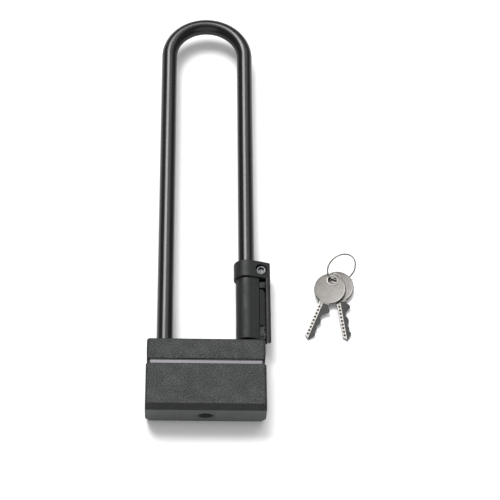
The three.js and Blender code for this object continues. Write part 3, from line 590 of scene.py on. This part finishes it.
def cap_cover():
    bm = drawn_out(body_outline(cap_high.x), "Y", cap_low.y, cap_high.y)
    crease = (0, cap_low.y + CREASE_UP, 0)
    bmesh.ops.bisect_plane(bm, geom=everything_in(bm), plane_co=crease, plane_no=(0, 1, 0))
    for vert in bm.verts:
        if abs(vert.co.y - cap_low.y) < 0.01:
            vert.co.z = AXIS_Z + (vert.co.z - AXIS_Z) * (1 - LEAN_IN / AXIS_Z)
            vert.co.x *= 1 - LEAN_IN / cap_high.x
    bm = hollowed(bm, cap_low.y)
    span = (cap_high.y - 6, cap_high.y + 2, LEG_BORE)
    legs = [rod("Y", (x, 0, AXIS_Z), *span, segments=72) for x in (-LEG_X, LEG_X)]
    bm = carved(bm, *legs, screw_seat("cover_screw_3"), screw_seat("cover_screw_4"))

    def near_outline(corner):
        beside = abs(corner.x) > cap_high.x - RIM_ROUND
        return beside or not RIM_ROUND < corner.z < DEPTH - RIM_ROUND

    def top_rim(edge):
        ends = [v.co for v in edge.verts]
        return all(abs(c.y - cap_high.y) < 0.01 and near_outline(c) for c in ends)

    edges_broken(bm, RIM_ROUND, 5, top_rim)

    def below_rim(edge):
        return not any(abs(v.co.y - cap_high.y) < RIM_ROUND + 0.2 for v in edge.verts)

    edges_broken(bm, 0.3, 3, below_rim, 40)
    # The rounded rim and the sides get the darker finish as painted shade.
    for face in bm.faces:
        at_rim = face.calc_center_median().y > cap_high.y - RIM_ROUND * 0.9 and face.normal.y > 0.05
        if at_rim or abs(face.normal.x) > SIDE_FACING:
            face.material_index = SHADED_SMOOTH
    return bm


finished(
    "cap_moulding", cap_cover(), "lock_body",
    (COVER_GRAIN, COVER_SMOOTH_SHADED), ["top_cover"],
)

# %% [markdown]
# ## Silver strip, keyhole ring and seals
# The strip is a flat bar with rounded ends and well-rounded long edges, which is what gives it a
# light upper and a darker lower line. The keyhole's plate has a lens-shaped opening that leads the
# key in. The seals are spun from a rounded profile.

# %% Small body trim
STRIP_END_ROUND, STRIP_EDGE_ROUND = 0.85, 0.55


def silver_strip():
    outline = rounded_box(strip_high.x, strip_low.y, strip_high.y, STRIP_END_ROUND)
    bm = drawn_out(outline, "Z", strip_low.z, strip_high.z)

    def on_face(edge):
        return all(v.co.z > strip_high.z - 0.01 for v in edge.verts)

    return edges_broken(bm, STRIP_EDGE_ROUND, 5, on_face, 60)


def ring_profile(inner, outer, low, high, edge):
    corners = (((inner + edge, low + edge), 180), ((outer - edge, low + edge), 270))
    corners += (((outer - edge, high - edge), 0), ((inner + edge, high - edge), 90))
    return [point for centre, start in corners for point in arc(centre, edge, start, start + 90, 5)]


def ring_for(node, inner, edge):
    low, high = node_box(node)
    centre = (low + high) / 2
    half = (high.y - low.y) / 2
    return turned(ring_profile(inner, (high.x - low.x) / 2, -half, half, edge), centre, "Y")


def keyhole_plate(half_across=6.7, half_deep=4.7):
    """A round plate with a lens-shaped opening, where two round cutters overlap."""
    low, high = node_box("keyhole_bezel")
    plate = rod("Y", (0, 0, AXIS_Z), low.y, high.y, (high.x - low.x) / 2, segments=80)
    curve = (half_across**2 + half_deep**2) / (2 * half_deep)
    shift = curve - half_deep
    span = (low.y - 1, high.y + 1, curve)
    cutters = [rod("Y", (0, 0, AXIS_Z + up), *span, segments=160) for up in (-shift, shift)]
    return edges_broken(carved(plate, with_boolean(*cutters, "INTERSECT")), 0.35, 3, sharper_than=60)


finished("silver_strip", silver_strip(), "lock_body", SILVER, ["trim_strip"])
# The plate takes the lighter end-face finish, which is painted light.
finished("keyhole_plate", keyhole_plate(), "lock_body", COVER_END_LIT, ["keyhole_bezel"])
for side in ("left", "right"):
    seal = ring_for(f"leg_seal_{side}", VINYL_RADIUS + 0.25, 0.6)
    finished(f"leg_grommet_{side}", seal, "lock_body", RUBBER, [f"leg_seal_{side}"])

# %% [markdown]
# ## Screws
# The cover screws have low flat heads with a cross recess. The bracket's clamp screw is a socket
# cap screw: a domed edge round a hexagonal socket, with a small drill point at the socket's floor.

# %% Screws and nut
def cover_screw(node):
    low, high = node_box(node)
    spot = (low + high) / 2
    long = high.z - low.z
    head = [(0, 0), (2.3, 0), (2.9, 0.5), (2.9, 1.2), (1.4, 1.5), (1.4, long - 0.6), (0.8, long), (0, long)]
    bm = turned(head, (spot.x, spot.y, low.z), "Z", 40)
    arm_long, arm_wide = 1.7, 0.32
    arms = [(arm_long, arm_wide), (arm_wide, arm_long)]
    deep = (low.z - 1, low.z + 0.8)
    recess = [block((spot.x - a, spot.x + a), (spot.y - b, spot.y + b), deep) for a, b in arms]
    return edges_broken(carved(bm, *recess), 0.06, 2, sharper_than=50)


for number in range(1, 5):
    node = f"cover_screw_{number}"
    finished(f"cross_screw_{number}", cover_screw(node), "lock_body", BLACK_STEEL, [node])


def hexagon(spot, across_flats, low, high):
    return rod("Z", spot, low, high, across_flats / math.sqrt(3), segments=6)


def socket_screw():
    low, high = node_box("clamp_screw")
    spot = (low + high) / 2
    head_radius, head_height = (high.x - low.x) / 2, 2.9
    top = high.z - low.z
    profile = [(0, 0), (1.9, 0), (2.4, 0.5), (2.4, top - head_height), (head_radius - 0.2, top - head_height)]
    profile += [(head_radius, top - head_height + 0.2), (head_radius, top - 0.5)]
    profile += arc((head_radius - 0.45, top - 0.45), 0.45, 0, 90, 6) + [(0, top)]
    bm = turned(profile, (spot.x, spot.y, low.z), "Z", 72)
    floor = high.z - 1.9
    drill_point = rod("Z", spot, floor - 0.5, floor + 0.1, 0.1, 1.6, 48)
    socket = welded(hexagon(spot, 5, floor, high.z + 1), drill_point)
    return edges_broken(carved(bm, socket), 0.12, 2, sharper_than=50)


def hexagon_nut():
    low, high = node_box("clamp_nut")
    spot = middle_of("clamp_screw")
    bm = hexagon(spot, 7.97, low.z, high.z)
    edges_broken(bm, 0.35, 2, lambda e: abs(e.verts[0].co.z - e.verts[1].co.z) < 0.01)
    return carved(bm, rod("Z", spot, 0, 30, 2.6, segments=48))


finished("socket_cap_screw", socket_screw(), "shackle", BLACK_STEEL, ["clamp_screw"])
finished("hexagon_nut", hexagon_nut(), "shackle", BLACK_STEEL, ["clamp_nut"])

# %% [markdown]
# ## Shackle
# A circle is pushed straight up one leg, spun half a turn round the middle of the bend, and pushed
# down the other leg, just as the bar itself was bent. The coating gets its wall from a Solidify; the
# steel inside is a solid bar with its ends chamfered and a round notch milled in each leg.

# %% Bent bar
COATING_WALL = 0.85
BAR_END_CHAMFER = 1.4
NOTCH_RADIUS, NOTCH_DEEP = 4.4, 3.6


def bent_circle(radius, end_y, segments, bend_steps=72, leg_steps=10):
    bm = bmesh.new()
    start = Matrix.Translation((-LEG_X, end_y, AXIS_Z)) @ AXIS_TURN["Y"]
    ring = bmesh.ops.create_circle(bm, cap_ends=False, segments=segments, radius=radius, matrix=start)
    rim = list({e for v in ring["verts"] for e in v.link_edges})
    step = Vector((0, (BEND_Y - end_y) / leg_steps, 0))

    def pushed(edges, move):
        for _ in range(leg_steps):
            made = bmesh.ops.extrude_edge_only(bm, edges=edges)["geom"]
            bmesh.ops.translate(bm, vec=move, verts=[g for g in made if isinstance(g, bmesh.types.BMVert)])
            edges = [g for g in made if isinstance(g, bmesh.types.BMEdge)]
        return edges

    top = pushed(rim, step)
    bent = bmesh.ops.spin(
        bm, geom=top, cent=(0, BEND_Y, AXIS_Z), axis=(0, 0, -1), dvec=(0, 0, 0),
        angle=math.pi, steps=bend_steps, use_merge=False, use_duplicate=False,
    )["geom_last"]
    pushed([g for g in bent if isinstance(g, bmesh.types.BMEdge)], -step)
    bmesh.ops.remove_doubles(bm, verts=bm.verts, dist=10 * MERGE)
    bmesh.ops.recalc_face_normals(bm, faces=bm.faces)
    return bm


def vinyl_sleeve():
    return walled(bent_circle(VINYL_RADIUS, sleeve_low.y, 64), COATING_WALL)


def steel_bar():
    bm = bent_circle(BAR_RADIUS, bar_low.y, 48, 48, 2)
    bmesh.ops.holes_fill(bm, edges=[e for e in bm.edges if e.is_boundary], sides=0)
    bmesh.ops.recalc_face_normals(bm, faces=bm.faces)
    edges_broken(bm, BAR_END_CHAMFER, 2, sharper_than=60)
    mill = (0, middle_of("bolt_right").y, AXIS_Z)
    near, deep = 20, LEG_X - BAR_RADIUS + NOTCH_DEEP
    right = rod("X", mill, near, deep, NOTCH_RADIUS)
    return carved(bm, right, rod("X", mill, -deep, -near, NOTCH_RADIUS))


finished("vinyl_coating", vinyl_sleeve(), "shackle", VINYL, ["shackle_sleeve"])
finished("shackle_steel", steel_bar(), "shackle", HARD_STEEL, ["shackle_bar"])

# %% [markdown]
# ## Carrier bracket
# One nylon moulding: a split collar with a lug for the clamp screw, a grip tube below it, and a rail
# beside the tube that the holder on the bicycle slides over. The fronts of the collar and the grip
# run off their rounds as flats that fall away to the right. Every stock piece has its edges rounded
# before it is welded, because a mould has no knife edges, and the bores are cut last.

# %% Bracket moulding
COLLAR_RADIUS = LEG_X - bracket_low.x
COLLAR_HEIGHT = 16.0
GRIP_RADIUS = 9.3
LUG_HALF = 7.0
RAIL_THICK = 3.9
GRIP_LOW = 36.5
CHANNEL_TOP = 95.6
SPLIT_LOW, SPLIT_HALF = 97, 0.8
PIN_BORE = 1.4
SCREW_FACE, SCREW_RECESS, SCREW_HOLE = 19.4, 5, 2.7
NUT_POCKET, NUT_POCKET_DEEP = 8.66, 12.9
LINER_BORE = 8
SLOPE = 0.316
SLOPE_STARTS = math.pi / 2 - SLOPE
collar_low = bracket_high.y - COLLAR_HEIGHT
rail_inner, rail_outer = bracket_high.x - RAIL_THICK, bracket_high.x
lever_low, lever_high = node_box("latch_lever")
channel_left, channel_floor = lever_low.x - 0.5, 12.3
lug_back = AXIS_Z - LUG_HALF


def slope_z(radius, x):
    """Height at x of the flat front that runs off a round of this radius on the leg's axis."""
    start = LEG_X + radius * math.cos(SLOPE_STARTS)
    return AXIS_Z + radius * math.sin(SLOPE_STARTS) - (x - start) * math.tan(SLOPE)


def above_slope():
    left, right, high = 38, 60, 40
    outline = [(left, slope_z(GRIP_RADIUS, left)), (right, slope_z(GRIP_RADIUS, right))]
    return drawn_out(outline + [(right, high), (left, high)], "Y", 0, 120)


def collar_outline():
    corner = 1.6
    x = rail_outer - corner
    z = slope_z(COLLAR_RADIUS, x) - corner / math.cos(SLOPE)
    meet = 1.35 * math.degrees(math.asin(LUG_HALF / COLLAR_RADIUS))
    lug = arc((x, lug_back + corner), corner, -90, 0, 6)
    lug += arc((x, z), corner, 0, math.degrees(SLOPE_STARTS), 8)
    round_part = arc((LEG_X, AXIS_Z), COLLAR_RADIUS, math.degrees(SLOPE_STARTS), 360 - meet, 64)
    return lug + round_part + [(LEG_X + COLLAR_RADIUS * 1.05, lug_back)]


def grip_outline():
    meet = math.degrees(math.asin(LUG_HALF / GRIP_RADIUS))
    round_part = arc((LEG_X, AXIS_Z), GRIP_RADIUS, math.degrees(SLOPE_STARTS), 360 - meet, 64)
    return [(channel_left, lug_back), (channel_left, slope_z(GRIP_RADIUS, channel_left))] + round_part


def rail_plate():
    soft, lead, end_soft = 2.2, 8.5, 3
    x, z = rail_outer - soft, slope_z(COLLAR_RADIUS, rail_outer - soft) - soft
    low = bracket_low.y
    outline = [(rail_inner, lug_back), (rail_outer, lug_back)] + arc((x, z), soft, 0, 90, 8)
    rail = drawn_out(outline + [(rail_inner, z + soft)], "Y", low, collar_low + 1)
    slant = [(low - 4, lug_back - 1), (low + lead + 0.6, lug_back - 1)]
    slant += [(low, z + soft), (low - 4, z + soft + 4)]
    turn_x, turn_y = rail_outer - end_soft, low + end_soft
    corner = block((turn_x, rail_outer + 1), (low - 1, turn_y), (0, 40))
    corner = carved(corner, rod("Z", (turn_x, turn_y, 0), -1, 41, end_soft))
    rail = carved(rail, drawn_out(slant, "X", rail_inner - 1, rail_outer + 1), corner)
    return edges_broken(rail, 0.3, 3, lambda e: min(v.co.y for v in e.verts) < collar_low, 50)


def bracket_moulding():
    collar = drawn_out(collar_outline(), "Y", collar_low, bracket_high.y)
    edges_broken(collar, 0.9, 4, lambda e: abs(e.verts[0].co.y - e.verts[1].co.y) < 0.01, 60)
    grip = drawn_out(grip_outline(), "Y", GRIP_LOW, collar_low + 1)
    edges_broken(grip, 0.5, 4, lambda e: all(v.co.y < GRIP_LOW + 0.5 for v in e.verts), 60)
    floor = block((LEG_X + 6, rail_inner + 1), (38, collar_low + 1), (lug_back, channel_floor))
    bm = welded(collar, grip, edges_broken(floor, 0.4), rail_plate())
    screw = middle_of("clamp_screw")
    pin = middle_of("latch_pin")
    slit_end = LEG_X + COLLAR_RADIUS * math.cos(SLOPE_STARTS)
    cuts = [
        rod("Y", (LEG_X, 0, AXIS_Z), 0, bracket_high.y + 5, LINER_BORE, segments=96),
        block((channel_left, rail_inner), (collar_low - 1, CHANNEL_TOP), (channel_floor, 40)),
        block((20, slit_end), (collar_low - 0.9, collar_low), (0, 40)),
        block((LEG_X + 5, 60), (SPLIT_LOW, 120), (AXIS_Z - SPLIT_HALF, AXIS_Z + SPLIT_HALF)),
        rod("Z", screw, SCREW_FACE, 40, SCREW_RECESS, segments=72),
        rod("Z", screw, 0, 30, SCREW_HOLE, segments=48),
        hexagon(screw, NUT_POCKET, 0, NUT_POCKET_DEEP),
        rod("X", pin, 43.3, 53.5, PIN_BORE, segments=40),
    ]
    bm = carved(bm, *cuts)

    def front_edge(edge):
        return all(v.co.z > 18 and v.co.x > channel_left - 0.1 and v.co.y < collar_low for v in edge.verts)

    return edges_broken(bm, 0.2, 2, front_edge, 60)


bracket = bracket_moulding()
finished("bracket_moulding", bracket, "shackle", BRACKET_PLASTIC, ["bracket_body"], 38)

# %% [markdown]
# The liner, the catch and the lever are small mouldings of their own. The catch has a ramp that
# leads the holder in. The lever is a long tongue that turns on a steel pin at its foot, with a round
# boss over the pin, a waist above it and one corner cut off at its free end. Both are cut flush with
# the sloping front of the grip.

# %% Liner, catch, lever and pin
def catch_block():
    low, high = node_box("slide_catch")
    side = [(low.y, low.z), (high.y, low.z), (high.y, 19), (high.y - 1.4, 20.8), (low.y, 22)]
    bm = carved(drawn_out(side, "X", low.x, high.x), above_slope())
    return edges_broken(bm, 0.3, 3, sharper_than=20)


def lever_arm():
    low, high = lever_low, lever_high
    pin = middle_of("latch_pin")
    side = [(low.y, 15), (46, 15), (50, 16.5), (high.y, 16.5), (high.y, 24), (low.y, 24)]
    corner = [(high.x - 1.5, high.y + 0.1), (high.x + 1, high.y - 3.2), (high.x + 1, high.y + 0.1)]
    cuts = [
        above_slope(),
        drawn_out(corner, "Z", 10, 30),
        block((low.x - 1, high.x + 1), (low.y - 1, 50), (20.9, 30)),
        rod("Z", (high.x + 1.1, 46.2, 0), 10, 30, 1.9, segments=40),
    ]
    bm = edges_broken(carved(drawn_out(side, "X", low.x, high.x), *cuts), 0.28)
    middle = (low.x + high.x) / 2 - 0.5
    boss = edges_broken(rod("Z", (middle, low.y + 2.9, 0), 18, 21.9, 1.7, 1.5, 48), 0.25, 3, sharper_than=60)
    dimple = rod("Z", (middle, low.y + 2.9, 0), 21.5, 23, 0.5, 1.5, 40)
    return carved(welded(bm, boss), dimple, rod("X", pin, 40, 60, PIN_BORE, segments=40))


def pin_rod():
    low, high = node_box("latch_pin")
    pin = rod("X", middle_of("latch_pin"), low.x, high.x, 1.1, segments=40)
    return edges_broken(pin, 0.2, sharper_than=60)


liner = ring_for("bracket_liner", VINYL_RADIUS + 0.2, 0.25)
finished("collar_liner", liner, "shackle", RUBBER, ["bracket_liner"])
finished("ramp_catch", catch_block(), "shackle", BRACKET_PLASTIC, ["slide_catch"])
finished("lever_arm", lever_arm(), "latch", BRACKET_PLASTIC, ["latch_lever"])
finished("lever_pin", pin_rod(), "shackle", BLACK_STEEL, ["latch_pin"])

# %% [markdown]
# ## Keys
# A key starts as a stamped blank: an oval head with a coined rim and a blade. The blade is then
# milled: the side with the cuts is thinned, which leaves a rail down the other side, a row of pits is
# drilled in the rail, and a raised collar stays round the hole. It is drawn flat with its hole at the
# origin, and then laid where it leans on its tip.

# %% Key blank
KEY_THICK = 1.9
HEAD_HALF = Vector((13.75, 14.55, 1))
HEAD_CENTRE = Vector((0.9, -7.9, 0))
HOLE_RADIUS = 4.1
FIELD = KEY_THICK - 0.22
BORDER_WIDE = 1.6
PIT_COUNT, PIT_STEP = 9, 3.4
MILLED_SHADED, BRIGHT = 1, 2
BLADE = [
    (6, -21.2), (5.7, -24.6), (8.2, -26.8), (8.2, -29.2), (5.3, -31.2), (3.6, -33.4), (2.8, -36.2),
    (4.8, -39.1), (4.8, -41.9), (2.9, -45.2), (4.2, -48.2), (3.3, -50.4), (4.9, -53), (3.9, -55.3),
    (0.6, -59.4), (-3.1, -56.5), (-3.1, -21.6),
]


def key_head():
    border = BORDER_WIDE / HEAD_HALF.x
    rim = [(0, 0), (0.98, 0), (1, 0.3), (1, KEY_THICK - 0.35), (0.985, KEY_THICK - 0.1), (0.965, KEY_THICK)]
    rim += [(1 - border * 0.75, KEY_THICK), (1 - border, FIELD), (0, FIELD)]
    head = turned(rim, (0, 0, 0), "Z", 96)
    bmesh.ops.transform(head, matrix=Matrix.LocRotScale(HEAD_CENTRE, None, HEAD_HALF), verts=head.verts)
    collar = turned(ring_profile(HOLE_RADIUS - 0.6, 5.1, 0.4, KEY_THICK, 0.25), (0, 0, 0), "Z", 64)
    return welded(head, collar)


def key_blank():
    blade = edges_broken(drawn_out(BLADE, "Z", 0.1, KEY_THICK - 0.1), 0.2, 2, sharper_than=40)
    bm = welded(key_head(), blade)
    low = KEY_THICK - 0.6
    neck = HEAD_CENTRE.y - HEAD_HALF.y - 0.6
    milled = block((0.3, 12), (-70, neck), (low, 4))
    edges_broken(milled, 0.35, 3, lambda e: all(v.co.z < low + 0.1 for v in e.verts))
    bm = carved(bm, milled, rod("Z", (0, 0, 0), -1, 4, HOLE_RADIUS, segments=64))
    for i in range(PIT_COUNT):
        pit = rod("Z", (-1.3, -27.5 - PIT_STEP * i, 0), KEY_THICK - 0.45, KEY_THICK + 0.3, 0.6, 1.5, 24)
        bm = carved(bm, pit)
    # The milled floor takes the dark finish as its cut finish; the pits and all side faces take it as painted
    # shade.
    for face in bm.faces:
        centre = face.calc_center_median()
        worked = centre.y < neck and centre.z < low + 0.03 and centre.z > 0.3
        sunk = centre.y < neck and centre.x < 0.2 and 0.5 < centre.z < KEY_THICK - 0.13
        on_collar = centre.z > FIELD + 0.02 and centre.xy.length < 5.3 and face.normal.z > 0.3
        if worked or sunk or abs(face.normal.z) < 0.5:
            face.material_index = MILLED_SHADED
        elif on_collar or (centre.y < neck and face.normal.z > 0.9):
            face.material_index = BRIGHT
    return bm


def laid_key(place, swing, lean):
    bm = key_blank()
    turn = Matrix.Rotation(swing, 4, "Z") @ Matrix.Rotation(lean, 4, "X")
    bmesh.ops.transform(bm, matrix=Matrix.Translation(place) @ turn, verts=bm.verts)
    return bm


KEY_FINISH = (NICKEL, MILLED_NICKEL_SHADED, BRIGHT_NICKEL)
KEYS_LAID = (
    ("first_key", (110.6, 102.4, 5.45), -0.402, 0.0885),
    ("second_key", (113.6, 105.8, 2.95), 0.138, 0.047),
)
for number, (body, place, swing, lean) in enumerate(KEYS_LAID, 1):
    key = laid_key(place, swing, lean)
    finished(f"nickel_key_{number}", key, body, KEY_FINISH, [f"key_{number}"])

# %% [markdown]
# ## Wound wire
# A key ring is a flat wire wound twice against itself, and the lever's spring is a round wire wound
# into a coil. A small circle spun round an axis while it rises makes both.

# %% Split ring and spring
def wound(radius, strand_across, strand_high, rise, turns, steps_a_turn):
    bm = bmesh.new()
    steps = round(turns * steps_a_turn)
    start = Matrix.Translation((radius, 0, -rise * turns / 2)) @ AXIS_TURN["Y"]
    start = start @ Matrix.Diagonal((strand_across, strand_high, 1, 1))
    ring = bmesh.ops.create_circle(bm, cap_ends=True, segments=14, radius=1, matrix=start)
    geometry = ring["verts"] + list({e for v in ring["verts"] for e in v.link_edges}) + list(bm.faces)
    bmesh.ops.spin(
        bm, geom=geometry, cent=(0, 0, 0), axis=(0, 0, 1), dvec=(0, 0, rise * turns / steps),
        angle=turns * 2 * math.pi, steps=steps, use_merge=False, use_duplicate=False,
    )
    bmesh.ops.remove_doubles(bm, verts=bm.verts, dist=MERGE)
    bmesh.ops.recalc_face_normals(bm, faces=bm.faces)
    return bm


RING_NORMAL = Vector((0.337, -0.808, 0.484)).normalized()
split_ring = wound(13.4, 0.6, 0.3, 0.64, 2, 96)
turn = Vector((0, 0, 1)).rotation_difference(RING_NORMAL).to_matrix().to_4x4()
ring_place = Matrix.Translation(middle_of("key_ring")) @ turn
bmesh.ops.transform(split_ring, matrix=ring_place, verts=split_ring.verts)
finished("split_ring", split_ring, "ring", RING_STEEL, ["key_ring"], 60)

spring_low, spring_high = node_box("latch_spring")
spring_turns, spring_wire = 3.5, 0.3
spring_rise = (spring_high.z - spring_low.z - 2.2 * spring_wire) / spring_turns
spring_radius = (spring_high.x - spring_low.x) / 2 - spring_wire
spring = wound(spring_radius, spring_wire, spring_wire, spring_rise, spring_turns, 24)
bmesh.ops.translate(spring, vec=middle_of("latch_spring"), verts=spring.verts)
spring = finished("lever_spring", spring, "shackle", HARD_STEEL, ["latch_spring"], 60)
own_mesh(spring)

# %% [markdown]
# ## Finishes for the works inside
# The steel bar, the cylinder, the bolts and the rack and pinion keep their own shapes. They only
# need their metals, which show through the keyhole, in the groove between the covers, and when the
# shackle is drawn out. The brass and the case steel are painted far darker than the real metals, as
# painted shade down the keyhole and in the groove.

# %% Give the inner parts their metals
INNER = {
    "steel_case": CASE_STEEL_SHADED, "mechanism_plate": HARD_STEEL, "channel_plug_left": HARD_STEEL,
    "channel_plug_right": HARD_STEEL, "cylinder_pin": HARD_STEEL, "cylinder_shell": BRASS_SHADED,
    "cylinder_plug": BRASS_SHADED, "drive_pinion": HARD_STEEL, "pinion_clip": HARD_STEEL,
    "bolt_left": HARD_STEEL, "bolt_right": HARD_STEEL,
}
INNER.update({f"wafer_{i}": BRASS_SHADED for i in range(1, 6)})
for node, material in INNER.items():
    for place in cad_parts[node].material_slots:
        place.material = material
print(len(INNER), "inner parts finished,", len(made_pieces), "pieces made")

# %% [markdown]
# ## Floor
# A plain, pale, slightly soft sheet of card that runs well past the view on all sides.

# %% Lay the floor
FLOOR_HALF, FLOOR_DROP = 6, 0.0003


def pale_floor():
    material, tree, shader, place = new_material("pale_card", Specular_IOR_Level=0.2)
    shade = ramp(tree, clouds(tree, place, 400, 2), (0.3, (0.86, 0.86, 0.86)), (0.7, (0.89, 0.89, 0.89)))
    feed(tree, shade, shader, "Base Color")
    shader.inputs["Roughness"].default_value = 0.7
    bm = bmesh.new()
    bmesh.ops.create_grid(bm, x_segments=4, y_segments=4, size=FLOOR_HALF)
    bmesh.ops.translate(bm, vec=(0, 0, -FLOOR_DROP), verts=bm.verts)
    floor = object_from(bm, "floor")
    floor.data.materials.append(material)


pale_floor()
